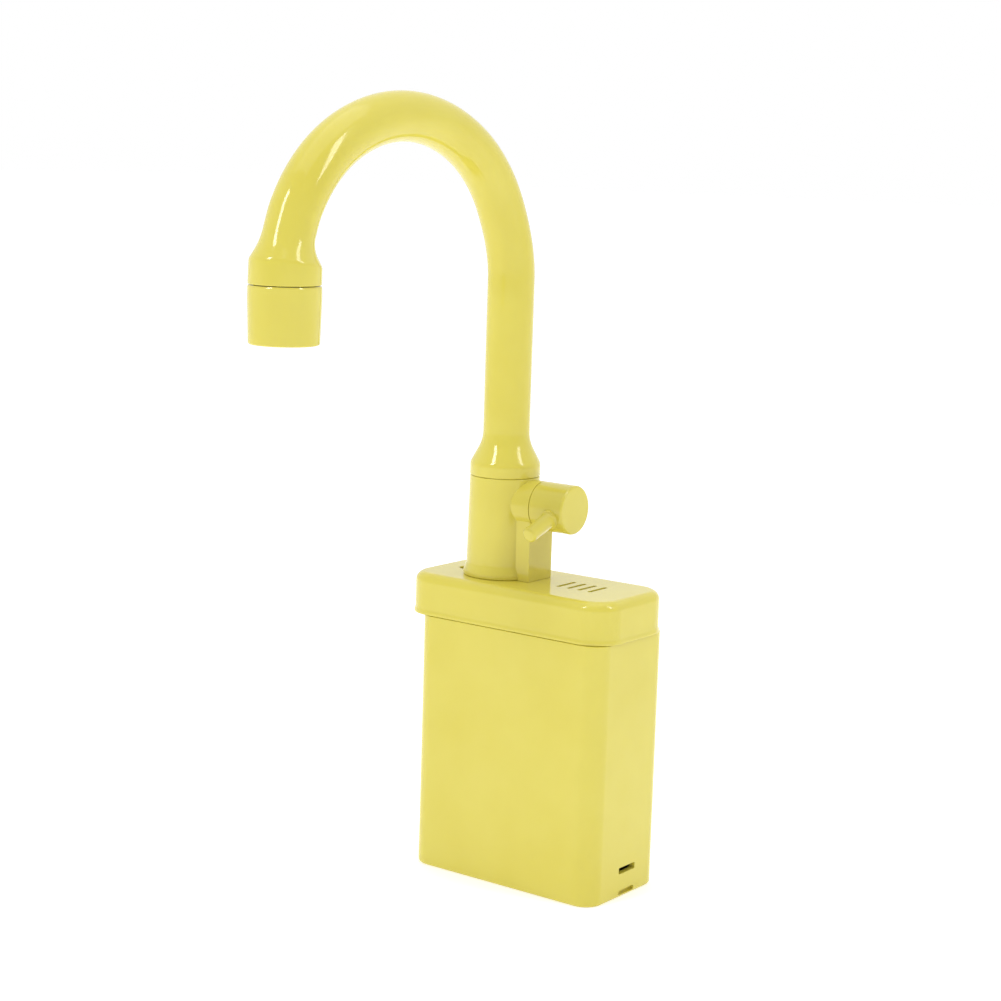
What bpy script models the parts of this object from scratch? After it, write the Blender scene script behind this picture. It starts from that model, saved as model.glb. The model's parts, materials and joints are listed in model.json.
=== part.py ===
"""Pump tap: a gooseneck spout and a side lever on a lidded, battery-powered pump box.

Lengths below are millimetres; MM turns them into Blender's metres.
World origin: centre of the box's underside. +X runs along the box towards the lever end, the spout
points to -Y (the user's side), +Z is up.
"""
import math

import bmesh
import bpy
from mathutils import Matrix, Vector

MM = 0.001

# ---- driving dimensions -------------------------------------------------------------------------
GAP = 0.3                     # clearance between neighbouring pieces
ROUND_STEPS = 36              # facets round a turned piece

BOX_L, BOX_W, BOX_H = 72.0, 38.7, 83.6
BOX_WALL, BOX_FLOOR, BOX_CORNER = 2.0, 2.5, 6.5

LID_X0, LID_X1, LID_W = -42.4, 37.3, 38.5
LID_Z0, LID_Z1, LID_PLATE, LID_CORNER, LID_TOP_ROUND = 84.4, 97.1, 2.0, 10.2, 3.0
LID_LIP, LID_LIP_H = 0.3, 1.1
SPIGOT_Z0, SPIGOT_WALL, SPIGOT_GAP = 80.4, 1.5, 0.4
DRIP_SLOTS, DRIP_X, DRIP_PITCH, DRIP_W = 4, 9.0, 4.0, 1.4

COL_X = -16.4                 # column, riser and swivel axis
COL_R_TOP, COL_R_FOOT, COL_BORE = 11.3, 11.7, 9.6
COL_TOP = 129.7
FOOT_R, FOOT_H = 12.6, 3.4
TAIL_R, TAIL_BORE, TAIL_LEN = 9.4, 7.6, 9.0

LEVER_Z = 121.4               # lever (barrel) axis height, axis runs along X through Y = 0
BARREL_R, BARREL_END = 7.85, 11.7
HOUSING_END, HOUSING_WALL = -1.1, 1.5
POST_X1, POST_HALF_W, POST_WALL = -1.3, 6.2, 1.6
ROD_X, ROD_R, ROD_REACH, ROD_DROP = 6.8, 2.5, 19.3, math.radians(20)
CAM_R, CAM_THROW, CAM_START = 4.6, 1.0, math.radians(127.5)

SPOUT_R, SPOUT_WALL, SPOUT_REACH = 7.5, 1.6, 106.2
SPOUT_FOOT = COL_TOP + GAP
ARCH_Z, ARCH_SIDE_R, ARCH_TOP_R = 193.2, 47.5, 59.0
ARCH_LEAN, LEAN_Z0, LEAN_RISE = 1.3, 192.0, 24.0   # the whole arch leans a little over the nozzle
NOZZLE_R, NOZZLE_Z0 = 10.4, 177.3

CELL_R, CELL_L = 7.1, 50.0
CASE_X, CASE_HALF, CASE_Z0, CASE_Z1 = -17.6, 15.8, 2.9, 57.0
CASE_WALL, CELL_PITCH = 1.2, 14.6

PUMP_X = 17.0
MOTOR_R, MOTOR_Z0, MOTOR_Z1 = 10.0, 20.0, 46.0
VOLUTE_R, VOLUTE_Z0, VOLUTE_Z1 = 14.0, 7.9, 17.4
OUTLET = (5.0, -12.6)         # upright outlet pipe beside the pump


# ---- scene, materials, collections --------------------------------------------------------------
def clear_scene():
    for item in list(bpy.data.objects):
        bpy.data.objects.remove(item, do_unlink=True)


def new_collection(name):
    group = bpy.data.collections.new(name)
    bpy.context.scene.collection.children.link(group)
    return group


def new_material(name, colour, roughness, metallic=0.0):
    mat = bpy.data.materials.new(name)
    mat.use_nodes = True
    shader = mat.node_tree.nodes["Principled BSDF"]
    shader.inputs["Base Color"].default_value = (*colour, 1.0)
    shader.inputs["Roughness"].default_value = roughness
    shader.inputs["Metallic"].default_value = metallic
    mat.diffuse_color = (*colour, 1.0)
    return mat


clear_scene()
PARTS = new_collection("pump_tap")
CUTTERS = new_collection("cutters")

YELLOW = new_material("yellow_moulding", (0.80, 0.70, 0.17), 0.28)
GREY = new_material("grey_moulding", (0.35, 0.36, 0.38), 0.45)
RUBBER = new_material("black_rubber", (0.03, 0.03, 0.03), 0.7)
SILICONE = new_material("clear_hose", (0.75, 0.78, 0.78), 0.35)
STEEL = new_material("plated_steel", (0.60, 0.60, 0.60), 0.3, 1.0)
MAGNET = new_material("ferrite", (0.08, 0.08, 0.09), 0.6)
SWITCH = new_material("switch_case", (0.05, 0.05, 0.05), 0.45)
CELL = new_material("cell_can", (0.55, 0.55, 0.57), 0.35, 1.0)
COPPER = new_material("copper_winding", (0.72, 0.38, 0.20), 0.4, 1.0)
WIRE = new_material("wire_cover", (0.50, 0.05, 0.04), 0.5)


def add_object(name, data, mat, cutter=False):
    obj = bpy.data.objects.new(name, data)
    (CUTTERS if cutter else PARTS).objects.link(obj)
    if cutter:
        obj.hide_render = True
        obj.display_type = 'WIRE'
    else:
        data.materials.append(mat)
    return obj


def smooth(mesh):
    mesh.shade_smooth()
    mesh.set_sharp_from_angle(angle=math.radians(35))


# ---- shape helpers (arguments in millimetres) ---------------------------------------------------
def joint_axis(name, at):
    """An empty on a joint's axis, for the pieces that move about it."""
    empty = bpy.data.objects.new(name, None)
    empty.empty_display_size = 10 * MM
    PARTS.objects.link(empty)
    empty.location = Vector(at) * MM
    return empty


def hang(piece, empty):
    """Parent a piece to an empty and keep it where it is."""
    piece.parent = empty
    piece.location = piece.location - empty.location


def mesh_object(name, bm, mat=None, at=(0.0, 0.0, 0.0), cutter=False):
    """Write a millimetre bmesh, built round its own origin, to an object placed at `at`."""
    bmesh.ops.recalc_face_normals(bm, faces=bm.faces)
    bmesh.ops.scale(bm, vec=(MM, MM, MM), verts=bm.verts)
    mesh = bpy.data.meshes.new(name)
    bm.to_mesh(mesh)
    bm.free()
    smooth(mesh)
    obj = add_object(name, mesh, mat, cutter)
    obj.location = Vector(at) * MM
    return obj


def box(name, x, y, z, mat=None, cutter=False, at=(0.0, 0.0, 0.0)):
    """A box from (x0, x1), (y0, y1), (z0, z1)."""
    bm = bmesh.new()
    middle = Matrix.Translation(((x[0] + x[1]) / 2, (y[0] + y[1]) / 2, (z[0] + z[1]) / 2))
    size = Matrix.Diagonal((x[1] - x[0], y[1] - y[0], z[1] - z[0], 1.0))
    bmesh.ops.create_cube(bm, size=1.0, matrix=middle @ size)
    return mesh_object(name, bm, mat, at, cutter)


def cylinder(name, radius, z, mat=None, cutter=False, at=(0.0, 0.0, 0.0), turn=None, steps=ROUND_STEPS):
    """An upright cylinder from z[0] to z[1]; `turn` is a rotation matrix about the object's origin."""
    bm = bmesh.new()
    bmesh.ops.create_cone(bm, cap_ends=True, segments=steps, radius1=radius, radius2=radius,
                          depth=z[1] - z[0], matrix=Matrix.Translation((0, 0, (z[0] + z[1]) / 2)))
    if turn is not None:
        bmesh.ops.transform(bm, matrix=turn, verts=bm.verts)
    return mesh_object(name, bm, mat, at, cutter)


def rounded_box(name, x, half_w, corner, z, mat=None, cutter=False, steps=6, foot_round=0.0, top_round=0.0):
    """An upright box, centred on Y = 0, whose upright edges are rounded by `corner`."""
    bm = bmesh.new()
    middle = Matrix.Translation(((x[0] + x[1]) / 2, 0.0, (z[0] + z[1]) / 2))
    size = Matrix.Diagonal((x[1] - x[0], 2 * half_w, z[1] - z[0], 1.0))
    bmesh.ops.create_cube(bm, size=1.0, matrix=middle @ size)
    upright = [e for e in bm.edges if abs(e.verts[0].co.z - e.verts[1].co.z) > (z[1] - z[0]) / 2]
    bmesh.ops.bevel(bm, geom=upright, offset=corner, segments=steps, profile=0.5, affect='EDGES')
    for rounding, height in ((foot_round, z[0]), (top_round, z[1])):
        if rounding:
            rim = [e for e in bm.edges if all(abs(v.co.z - height) < 1e-4 for v in e.verts)]
            bmesh.ops.bevel(bm, geom=rim, offset=rounding, segments=3, profile=0.5, affect='EDGES')
    return mesh_object(name, bm, mat, (0, 0, 0), cutter)


def turned(name, profile, mat=None, at=(0.0, 0.0, 0.0), along_x=False, steps=ROUND_STEPS, cutter=False,
           ring=False):
    """A turned piece. The profile is (radius, height), down its outer side; ring closes it on itself."""
    mesh = bpy.data.meshes.new(name)
    points = [(r * MM, 0.0, h * MM) for r, h in profile]
    edges = [(i, i + 1) for i in range(len(points) - 1)]
    if ring:
        edges.append((len(points) - 1, 0))
    mesh.from_pydata(points, edges, [])
    obj = add_object(name, mesh, mat, cutter)
    screw = obj.modifiers.new("turn", 'SCREW')
    screw.angle = 2 * math.pi
    screw.steps = screw.render_steps = steps
    screw.use_merge_vertices = True
    screw.merge_threshold = 0.00001
    screw.use_smooth_shade = True
    if along_x:
        obj.rotation_euler = (0.0, math.pi / 2, 0.0)
    obj.location = Vector(at) * MM
    return obj


def tube_ring(r_out, r_in, z0, z1):
    """Closed profile of a plain hollow tube, down its outer side first."""
    return [(r_out, z1), (r_out, z0), (r_in, z0), (r_in, z1)]


def o_ring(name, major, minor, z, at=(0.0, 0.0, 0.0)):
    steps = 6
    profile = [(major + minor * math.cos(a), z - minor * math.sin(a))
               for a in (2 * math.pi * i / steps for i in range(steps))]
    return turned(name, profile, RUBBER, at, ring=True, steps=24)


def boolean(target, other, operation='DIFFERENCE'):
    mod = target.modifiers.new(operation.lower(), 'BOOLEAN')
    mod.operation = operation
    mod.solver = 'EXACT'
    mod.object = other


def swept(name, points, radii, mat, cutter=False, caps=True, ring_res=10):
    """A round bar along a polyline, as a mesh; radii holds one radius for each point."""
    curve = bpy.data.curves.new(name + "_path", 'CURVE')
    curve.dimensions = '3D'
    curve.bevel_depth = MM
    curve.bevel_resolution = ring_res
    curve.use_fill_caps = caps
    spline = curve.splines.new('POLY')
    spline.points.add(len(points) - 1)
    for point, place, radius in zip(spline.points, points, radii):
        point.co = (*(Vector(place) * MM), 1.0)
        point.radius = radius
    path = bpy.data.objects.new(name + "_path", curve)
    CUTTERS.objects.link(path)
    bpy.context.view_layer.update()
    mesh = bpy.data.meshes.new_from_object(path)
    bpy.data.objects.remove(path, do_unlink=True)
    mesh.name = name
    mesh.materials.clear()
    bm = bmesh.new()
    bm.from_mesh(mesh)
    bmesh.ops.remove_doubles(bm, verts=bm.verts, dist=1e-6)
    bmesh.ops.recalc_face_normals(bm, faces=bm.faces)
    bm.to_mesh(mesh)
    bm.free()
    smooth(mesh)
    return add_object(name, mesh, mat, cutter)


def round_path(corners, bend, steps=6):
    """A polyline through hand-chosen corners, with each inner corner turned into an arc."""
    out = [Vector(corners[0])]
    for before, corner, after in zip(corners, corners[1:], corners[2:]):
        before, corner, after = Vector(before), Vector(corner), Vector(after)
        u, w = (before - corner).normalized(), (after - corner).normalized()
        half = u.angle(w) / 2
        reach = bend / math.tan(half)
        centre = corner + (u + w).normalized() * bend / math.sin(half)
        start, end = corner + u * reach, corner + w * reach
        for i in range(steps + 1):
            spoke = (start - centre).slerp(end - centre, i / steps)
            out.append(centre + spoke)
    out.append(Vector(corners[-1]))
    return out


# ---- pump box -----------------------------------------------------------------------------------
BOX_HALF_L = BOX_L / 2
BOX_HALF_W = BOX_W / 2
SCREW_X = -30.8               # lid screw, at the end away from the lever


def inset_box(name, inset, corner, z, mat=None):
    """A rounded box set in from the pump box's outer walls; a cutter unless it has a material."""
    return rounded_box(name, (inset - BOX_HALF_L, BOX_HALF_L - inset), BOX_HALF_W - inset, corner, z, mat,
                       cutter=mat is None)


def build_box_shell():
    shell = rounded_box("box_shell", (-BOX_HALF_L, BOX_HALF_L), BOX_HALF_W, BOX_CORNER, (0.0, BOX_H), YELLOW,
                        foot_round=0.8)
    boolean(shell, inset_box("box_inside", BOX_WALL, BOX_CORNER - BOX_WALL, (BOX_FLOOR, BOX_H + 5)))
    # water inlet through the end wall, and a shallow drain notch below it
    boolean(shell, box("inlet_slot_cut", (30, 40), (-3.5, 5.5), (7.8, 9.8), cutter=True))
    boolean(shell, box("drain_notch_cut", (BOX_HALF_L - 1.2, 40), (-3.2, 5.2), (0.9, 2.1), cutter=True))
    # boss for the lid screw, carried on a gusset from the end wall
    boss = cylinder("lid_boss", 2.6, (64.0, BOX_H - 4.0), cutter=True, at=(SCREW_X, 0, 0), steps=24)
    web = box("lid_boss_web", (-BOX_HALF_L + 1.0, SCREW_X), (-1.2, 1.2), (64.0, BOX_H - 4.0), cutter=True)
    boolean(shell, boss, 'UNION')
    boolean(shell, web, 'UNION')
    boolean(shell, cylinder("lid_boss_hole", 1.2, (66.0, BOX_H), cutter=True, at=(SCREW_X, 0, 0), steps=16))


def build_lid():
    half_w = LID_W / 2
    lid = rounded_box("lid", (LID_X0 + LID_LIP, LID_X1 - LID_LIP), half_w - LID_LIP, LID_CORNER - LID_LIP,
                      (LID_Z0, LID_Z1), YELLOW, steps=8, top_round=LID_TOP_ROUND)
    lip = rounded_box("lid_lip", (LID_X0, LID_X1), half_w, LID_CORNER, (LID_Z0, LID_Z0 + LID_LIP_H),
                      cutter=True, steps=8)
    boolean(lid, lip, 'UNION')
    # spigot that drops inside the box walls, hollow
    spigot_inset = BOX_WALL + SPIGOT_GAP
    boolean(lid, inset_box("lid_spigot", spigot_inset, 4.0, (SPIGOT_Z0, LID_Z0 + 1)), 'UNION')
    boolean(lid, inset_box("lid_hollow", spigot_inset + SPIGOT_WALL, 2.8, (SPIGOT_Z0 - 1, LID_Z1 - LID_PLATE)))
    # pocket under the overhang
    pocket = box("lid_pocket", (LID_X0 + 2.3, -BOX_HALF_L - 0.4), (-11.0, 11.0), (82.0, LID_Z1 - 2.4),
                 cutter=True)
    boolean(lid, pocket)
    # hole for the column's tail, the drip slots, and the screw pillar with its well
    boolean(lid, cylinder("lid_tail_hole", TAIL_R + GAP, (90, 100), cutter=True, at=(COL_X, 0, 0)))
    for i in range(DRIP_SLOTS):
        x = DRIP_X + DRIP_PITCH * i
        boolean(lid, box(f"drip_slot_{i + 1}_cut", (x - DRIP_W / 2, x + DRIP_W / 2), (-4.5, 5.5),
                         (LID_Z1 - 7, LID_Z1 + 3), cutter=True))
    boolean(lid, cylinder("lid_pillar", 3.2, (84.4, LID_Z1 - 1), cutter=True, at=(SCREW_X, 0, 0), steps=28),
            'UNION')
    boolean(lid, cylinder("lid_well", 2.4, (86.4, 100), cutter=True, at=(SCREW_X, 0, 0), steps=28))
    boolean(lid, cylinder("lid_screw_hole", 1.6, (80, 88), cutter=True, at=(SCREW_X, 0, 0), steps=20))


def build_lid_gasket():
    gasket = inset_box("lid_gasket", 0.8, 6.4, (BOX_H + 0.1, LID_Z0 - 0.1), SILICONE)
    boolean(gasket, inset_box("gasket_inside", 1.8, 5.4, (BOX_H - 4, LID_Z0 + 5)))


def build_lid_screw():
    profile = [(0.0, 88.7), (1.6, 88.7), (2.1, 88.2), (2.1, 86.7), (1.3, 86.7), (1.3, 80.0),
               (0.9, 79.6), (0.9, 68.0), (0.0, 67.0)]
    screw = turned("lid_screw", profile, STEEL, (SCREW_X, 0, 0), steps=20)
    for i, (half_x, half_y) in enumerate(((1.3, 0.3), (0.3, 1.3))):
        boolean(screw, box(f"screw_cross_{i + 1}", (-half_x, half_x), (-half_y, half_y), (87.5, 90),
                           cutter=True, at=(SCREW_X, 0, 0)))


# ---- battery case -------------------------------------------------------------------------------
def build_battery_case():
    x = (CASE_X - CASE_HALF, CASE_X + CASE_HALF)
    inner_x = (x[0] + CASE_WALL, x[1] - CASE_WALL)
    case = rounded_box("battery_case", x, CASE_HALF, 4.0, (CASE_Z0, CASE_Z1), GREY, steps=5)
    boolean(case, rounded_box("case_inside", inner_x, CASE_HALF - CASE_WALL, 4.0 - CASE_WALL,
                              (CASE_Z0 + 1.3, CASE_Z1 + 13), cutter=True, steps=5))
    rounded_box("battery_cover", x, CASE_HALF, 4.0, (CASE_Z1 + GAP, CASE_Z1 + 2.3), GREY, steps=5)


def build_cells():
    z0 = CASE_Z0 + 2.5
    body, pip, lip = CELL_L - 1.2, 2.7, CELL_R - 0.6
    for i in range(4):
        x = CASE_X + (-CELL_PITCH / 2 if i % 2 == 0 else CELL_PITCH / 2)
        y = -CELL_PITCH / 2 if i < 2 else CELL_PITCH / 2
        profile = [(0.0, CELL_L), (pip, CELL_L), (pip, body), (lip, body), (CELL_R, body - 0.6),
                   (CELL_R, 0.5), (lip, 0.0), (0.0, 0.0)]
        if i in (1, 2):                                      # every other cell stands on its head
            profile = [(r, CELL_L - h) for r, h in reversed(profile)]
        turned(f"cell_{i + 1}", profile, CELL, (x, y, z0), steps=24)


def build_contacts():
    low, high = CASE_Z0 + 1.6, CASE_Z0 + 2.8 + CELL_L
    for i, y in enumerate((-CELL_PITCH / 2, CELL_PITCH / 2)):
        box(f"contact_low_{i + 1}", (CASE_X - 13.5, CASE_X + 13.5), (y - 4, y + 4), (low, low + 0.5), STEEL)
    box("contact_link", (CASE_X - 11.5, CASE_X - 3.3), (-11.5, 11.5), (high, high + 0.5), STEEL)
    for i, y in enumerate((-CELL_PITCH / 2, CELL_PITCH / 2)):
        box(f"contact_end_{i + 1}", (CASE_X + 3.3, CASE_X + 11.5), (y - 4, y + 4), (high, high + 0.5), STEEL)


# ---- pump ---------------------------------------------------------------------------------------
def build_pump_casing():
    at = (PUMP_X, 0, 0)
    base = turned("pump_base", tube_ring(VOLUTE_R, 4.9, 6.0, 7.6), GREY, at, ring=True)
    for i in range(3):
        a = math.radians(90 + 120 * i)
        foot = cylinder(f"pump_foot_{i + 1}", 1.7, (2.8, 6.5), cutter=True, steps=16,
                        at=(PUMP_X + 11 * math.cos(a), 11 * math.sin(a), 0))
        boolean(base, foot, 'UNION')
    volute = turned("pump_volute", [(VOLUTE_R, VOLUTE_Z1), (VOLUTE_R, VOLUTE_Z0), (11.5, VOLUTE_Z0),
                                    (11.5, 15.4), (4.6, 15.4), (4.6, 15.9), (2.6, 15.9),
                                    (2.6, VOLUTE_Z1)], GREY, at, ring=True)
    # outlet: a radial arm into an upright pipe beside the casing
    away = Vector((OUTLET[0] - PUMP_X, OUTLET[1], 0.0))
    along = Matrix.Rotation(math.atan2(away.y, away.x), 4, 'Z') @ Matrix.Rotation(math.pi / 2, 4, 'Y')
    far = away.length
    boolean(volute, cylinder("outlet_arm", 3.1, (12.4, far), cutter=True, at=(PUMP_X, 0, 11.6),
                             turn=along, steps=20), 'UNION')
    boolean(volute, cylinder("outlet_pipe", 3.0, (8.5, 26.0), cutter=True, at=(*OUTLET, 0), steps=24), 'UNION')
    boolean(volute, cylinder("outlet_arm_bore", 1.8, (10.5, far), cutter=True, at=(PUMP_X, 0, 11.6),
                             turn=along, steps=16))
    boolean(volute, cylinder("outlet_bore", 1.9, (10.2, 30.0), cutter=True, at=(*OUTLET, 0), steps=16))


def build_strainer():
    strainer = cylinder("inlet_strainer", 4.6, (6.2, 7.4), STEEL, at=(PUMP_X, 0, 0), steps=24)
    places = [(0.0, 0.0)] + [(2.8 * math.cos(math.pi / 3 * i), 2.8 * math.sin(math.pi / 3 * i))
                             for i in range(6)]
    for i, (x, y) in enumerate(places):
        boolean(strainer, cylinder(f"strainer_hole_{i + 1}", 0.8, (5, 9), cutter=True, steps=10,
                                   at=(PUMP_X + x, y, 0)))


def build_motor():
    at = (PUMP_X, 0, 0)
    turned("motor_sleeve", [(12.0, 50.0), (12.0, 17.7), (2.4, 17.7), (2.4, 19.4), (MOTOR_R + GAP, 19.4),
                            (MOTOR_R + GAP, 50.0)], GREY, at, ring=True)
    turned("motor_can", [(MOTOR_R, MOTOR_Z1), (MOTOR_R, MOTOR_Z0), (1.6, MOTOR_Z0), (1.6, MOTOR_Z0 + 0.9),
                         (MOTOR_R - 0.9, MOTOR_Z0 + 0.9), (MOTOR_R - 0.9, MOTOR_Z1)], STEEL, at, ring=True)
    turned("motor_end_cap", [(0, MOTOR_Z1 + 1.8), (MOTOR_R, MOTOR_Z1 + 1.8), (MOTOR_R, MOTOR_Z1 + GAP),
                             (0, MOTOR_Z1 + GAP)], GREY, at)
    turned("sleeve_cap", [(0, 52.2), (12.0, 52.2), (12.0, 50.3), (0, 50.3)], GREY, at)
    for i in range(2):
        magnet = turned(f"magnet_{i + 1}", tube_ring(8.8, 6.9, 23.0, 42.0), MAGNET, at, ring=True)
        side = (PUMP_X - 20, PUMP_X + 20)
        edge = 3.0
        y = (-20, edge) if i == 0 else (-edge, 20)
        boolean(magnet, box(f"magnet_cut_{i + 1}", side, y, (20, 45), cutter=True))
    o_ring("shaft_seal", 1.95, 0.5, 16.6, at)


def build_rotor():
    """Turns about the pump's upright axis."""
    at = (PUMP_X, 0, 0)
    turned("rotor_shaft", [(0, 44.5), (1.2, 44.5), (1.2, 9.6), (0, 9.6)], STEEL, at, steps=20)
    turned("rotor_core", tube_ring(6.3, 1.45, 25.0, 40.0), COPPER, at, ring=True, steps=24)
    impeller = turned("impeller", tube_ring(9.6, 1.45, 13.0, 14.2), GREY, at, ring=True)
    for i in range(6):
        bm = bmesh.new()
        spin = Matrix.Rotation(math.pi / 3 * i, 4, 'Z')
        size = Matrix.Diagonal((6.6, 1.0, 3.6, 1.0))
        bmesh.ops.create_cube(bm, size=1.0, matrix=spin @ Matrix.Translation((5.8, 0.0, 11.4)) @ size)
        boolean(impeller, mesh_object(f"vane_{i + 1}", bm, at=at, cutter=True), 'UNION')
    boolean(impeller, turned("impeller_hub", tube_ring(2.9, 1.45, 9.6, 13.6), at=at, ring=True, steps=24,
                             cutter=True), 'UNION')


def build_hose():
    """From the pump's outlet pipe, up past the battery case and into the column."""
    start, end = Vector((*OUTLET, 20.0)), Vector((COL_X, 0.0, 102.5))
    low, high = 58.0, 91.5
    points = [start, Vector((*OUTLET, low))]
    offset = Vector((COL_X - OUTLET[0], -OUTLET[1], 0.0))
    span, rise = offset.length, high - low
    radius = (span ** 2 + rise ** 2) / (4 * span)
    sweep = math.asin(rise / 2 / radius)
    across = offset.normalized()
    for i in range(1, 6):
        a = sweep * i / 5
        points.append(points[1] + across * radius * (1 - math.cos(a)) + Vector((0, 0, radius * math.sin(a))))
    top = Vector((COL_X, 0.0, high))
    for i in range(4, -1, -1):
        a = sweep * i / 5
        points.append(top - across * radius * (1 - math.cos(a)) - Vector((0, 0, radius * math.sin(a))))
    points.append(end)
    hose = swept("delivery_hose", points, [4.3] * len(points), SILICONE, ring_res=4)
    long_bore = [start - Vector((0, 0, 2))] + points[1:-1] + [end + Vector((0, 0, 2))]
    bore = swept("hose_bore", long_bore, [3.3] * len(points), None, cutter=True, ring_res=4)
    boolean(hose, bore)


# ---- column, lever housing and switch -----------------------------------------------------------
def build_column():
    foot = LID_Z1 + GAP
    profile = [(0.0, COL_TOP), (COL_R_TOP, COL_TOP), (COL_R_FOOT, foot + FOOT_H),
               (FOOT_R, foot + FOOT_H - 0.9), (FOOT_R, foot), (TAIL_R, foot), (TAIL_R, foot - TAIL_LEN),
               (0.0, foot - TAIL_LEN)]
    column = turned("column", profile, YELLOW, (COL_X, 0, 0))
    # lever housing: a short barrel on a square post, both hollow and open into the column
    along_x = Matrix.Rotation(math.pi / 2, 4, 'Y')
    barrel = cylinder("housing_barrel", BARREL_R, (COL_X, HOUSING_END), cutter=True,
                      at=(0, 0, LEVER_Z), turn=along_x)
    post = box("housing_post", (COL_X, POST_X1), (-POST_HALF_W, POST_HALF_W), (foot, LEVER_Z), cutter=True)
    boolean(column, barrel, 'UNION')
    boolean(column, post, 'UNION')
    chamber = cylinder("housing_chamber", BARREL_R - POST_WALL, (COL_X, HOUSING_END - HOUSING_WALL),
                       cutter=True, at=(0, 0, LEVER_Z), turn=along_x)
    well_w = POST_HALF_W - POST_WALL
    well = box("post_chamber", (COL_X, POST_X1 - POST_WALL), (-well_w, well_w), (foot + 1.7, LEVER_Z),
               cutter=True)
    bearing = cylinder("housing_bearing", 2.1, (-6, 4), cutter=True, at=(0, 0, LEVER_Z), turn=along_x,
                       steps=24)
    bore = cylinder("column_bore", COL_BORE, (foot + 1.5, COL_TOP + 5), cutter=True, at=(COL_X, 0, 0))
    tail_bore = cylinder("tail_bore", TAIL_BORE, (foot - 15, foot + 5), cutter=True, at=(COL_X, 0, 0))
    for cutter in (chamber, well, bearing, bore, tail_bore):
        boolean(column, cutter)
    turned("column_nut", tube_ring(10.9, TAIL_R + GAP, LID_Z1 - LID_PLATE - 3.3, LID_Z1 - LID_PLATE - GAP),
           GREY, (COL_X, 0, 0), ring=True, steps=24)


def build_feed_nipple():
    nipple = [(3.0, 118.0), (3.0, 106.0), (9.2, 106.0), (9.2, 104.0), (3.0, 104.0), (3.0, 97.0), (2.0, 97.0),
              (2.0, 118.0)]
    turned("feed_nipple", nipple, GREY, (COL_X, 0, 0), ring=True, steps=28)
    o_ring("nipple_seal", 3.85, 0.6, 114.0, (COL_X, 0, 0))


SWITCH_X = -4.9


def build_switch():
    block = box("switch_body", (-6.6, -3.2), (-4.2, 4.2), (105.0, 112.0), SWITCH)
    boolean(block, cylinder("plunger_hole", 1.5, (108.6, 115), cutter=True, at=(SWITCH_X, 0, 0), steps=16))
    top = LEVER_Z - CAM_R - CAM_THROW * math.cos(CAM_START) - GAP
    cylinder("switch_plunger", 1.15, (0.0, top - 110.2), SWITCH, at=(SWITCH_X, 0, 110.2), steps=20)


def build_leads():
    """Three insulated wires; their corners are chosen by hand."""
    routes = {
        "lead_battery_switch": [(-12.0, 7.3, 59.9), (-12.0, 7.3, 74.0), (-12.2, 4.4, 84.0),
                                (-12.2, 4.4, 99.9), (-5.0, 1.6, 101.2), (-5.0, 1.6, 104.7)],
        "lead_motor_switch": [(19.0, 5.0, 52.6), (19.0, 5.0, 76.0), (-9.5, 4.5, 82.0), (-10.6, 1.9, 90.0),
                              (-10.6, 1.9, 99.9), (-5.0, -1.3, 101.2), (-5.0, -1.3, 104.7)],
        "lead_battery_motor": [(-6.0, 9.0, 59.9), (-6.0, 9.0, 66.0), (13.5, 6.5, 64.0), (13.5, 6.5, 52.6)],
    }
    for name, corners in routes.items():
        points = round_path(corners, 1.6, 3)
        swept(name, points, [0.55] * len(points), WIRE, ring_res=1)


# ---- lever --------------------------------------------------------------------------------------
def build_lever():
    """Turns about the barrel axis; at rest the rod hangs forward and down."""
    axis = (0.0, 0.0, LEVER_Z)
    knob = turned("lever_knob", [(0.0, BARREL_END), (BARREL_R - 0.7, BARREL_END),
                                 (BARREL_R - 0.2, BARREL_END - 0.2), (BARREL_R, BARREL_END - 0.7),
                                 (BARREL_R, HOUSING_END + GAP), (6.3, HOUSING_END + GAP),
                                 (6.3, BARREL_END - 1.6), (0.0, BARREL_END - 1.6)], YELLOW, axis, along_x=True)
    down_front = Matrix.Rotation(math.pi / 2 + ROD_DROP, 4, 'X')
    hole = cylinder("rod_hole", ROD_R + 0.15, (2.25, 12.0), cutter=True, at=(ROD_X, 0, LEVER_Z),
                    turn=down_front, steps=24)
    boolean(knob, hole)
    inner_end = BARREL_END - 2.0
    hub = turned("lever_hub", tube_ring(6.0, 2.1, 1.4, inner_end), GREY, axis, along_x=True, ring=True,
                 steps=28)
    boolean(hub, hole)
    bm = bmesh.new()
    bmesh.ops.create_cone(bm, cap_ends=True, segments=24, radius1=ROD_R, radius2=ROD_R,
                          depth=ROD_REACH - 2.5, matrix=Matrix.Translation((0, 0, (ROD_REACH + 2.5) / 2)))
    tip = [e for e in bm.edges if all(v.co.z > ROD_REACH - 0.01 for v in e.verts)]
    bmesh.ops.bevel(bm, geom=tip, offset=0.5, segments=2, profile=0.5, affect='EDGES')
    bmesh.ops.transform(bm, matrix=Matrix.Translation((ROD_X, 0, 0)) @ down_front, verts=bm.verts)
    mesh_object("lever_rod", bm, YELLOW, axis)
    turned("lever_shaft", [(0.0, inner_end), (1.8, inner_end), (1.8, -6.4), (0.0, -6.4)], STEEL, axis,
           along_x=True, steps=24)
    # round cam set off-centre, so that it presses the switch as the lever is lifted
    off = (CAM_THROW * math.sin(CAM_START), -CAM_THROW * math.cos(CAM_START))
    along_x = Matrix.Translation((0, off[0], off[1])) @ Matrix.Rotation(math.pi / 2, 4, 'Y')
    cam = cylinder("lever_cam", CAM_R, (-6.2, -3.2), GREY, at=axis, turn=along_x, steps=32)
    boolean(cam, cylinder("cam_bore", 2.1, (-8, 0), cutter=True, at=axis, steps=20,
                          turn=Matrix.Rotation(math.pi / 2, 4, 'Y')))


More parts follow.
